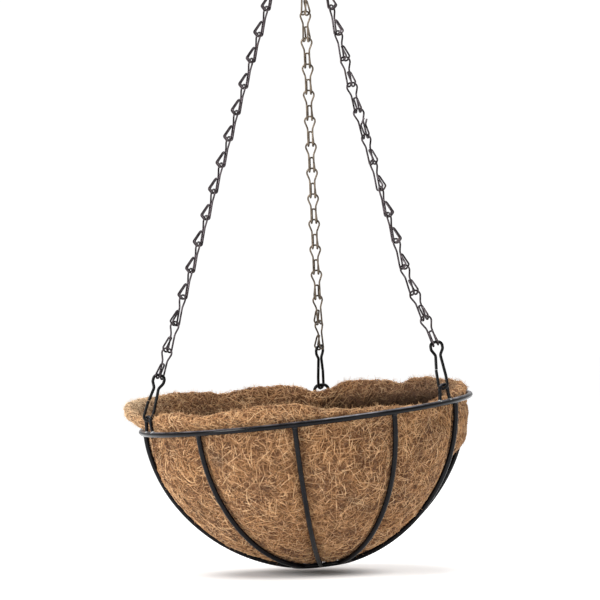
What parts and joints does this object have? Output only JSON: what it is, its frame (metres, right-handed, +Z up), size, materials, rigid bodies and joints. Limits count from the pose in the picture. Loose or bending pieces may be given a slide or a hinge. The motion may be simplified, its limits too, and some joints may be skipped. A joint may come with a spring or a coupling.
{
  "type": "hanging basket",
  "caption": "Wire half-bowl hanging basket with a moulded coir liner, hung from an S-hook by chains of folded wire links.",
  "frame": {"origin": "bearing point inside the top of the S-hook upper crook, where the basket hangs from its bracket", "axes": "+Z up along the line the basket hangs on, +X to the basket right side, -Y to its front"},
  "size_m": [0.2627, 0.2637, 0.5726],
  "materials": {
    "frame_wire": "satin",
    "clip_wire": "satin",
    "chain_wire": "satin",
    "hook_wire": "satin",
    "coir": "matte"
  },
  "bodies": {
    "hook": {"s_hook": "hook_wire"},
    "gathering_ring": {"gathering_ring": "hook_wire"},
    "basket": {"back_chain_lower": "chain_wire", "back_chain_middle": "chain_wire", "back_chain_upper": "chain_wire", "back_clip": "clip_wire", "back_eyelet": "clip_wire", "base_ring": "frame_wire", "joining_link": "chain_wire", "left_chain_lower": "chain_wire", "left_chain_middle": "chain_wire", "left_chain_upper": "chain_wire", "left_clip": "clip_wire", "left_eyelet": "clip_wire", "rib_01": "frame_wire", "rib_02": "frame_wire", "rib_03": "frame_wire", "rib_04": "frame_wire", "rib_05": "frame_wire", "rib_06": "frame_wire", "rib_07": "frame_wire", "rib_08": "frame_wire", "rib_09": "frame_wire", "rib_10": "frame_wire", "right_chain_lower": "chain_wire", "right_chain_middle": "chain_wire", "right_chain_upper": "chain_wire", "right_clip": "clip_wire", "right_eyelet": "clip_wire", "rim_ring": "frame_wire"},
    "liner": {"coir_liner": "coir"}
  },
  "joints": [
    {"name": "ring_on_hook", "type": "hinge", "parent": "hook", "child": "gathering_ring", "pos_m": [0, 0, -0.049], "axis": [0, 1, 0], "range_deg": [-25, 25]},
    {"name": "chains_on_ring", "type": "hinge", "parent": "gathering_ring", "child": "basket", "pos_m": [0, 0, -0.0674], "axis": [1, 0, 0], "range_deg": [-20, 20]},
    {"name": "liner_lift", "type": "slide", "parent": "basket", "child": "liner", "axis": [-0.0959, -0.0417, 0.9945], "range_m": [0, 0.012]}
  ]
}
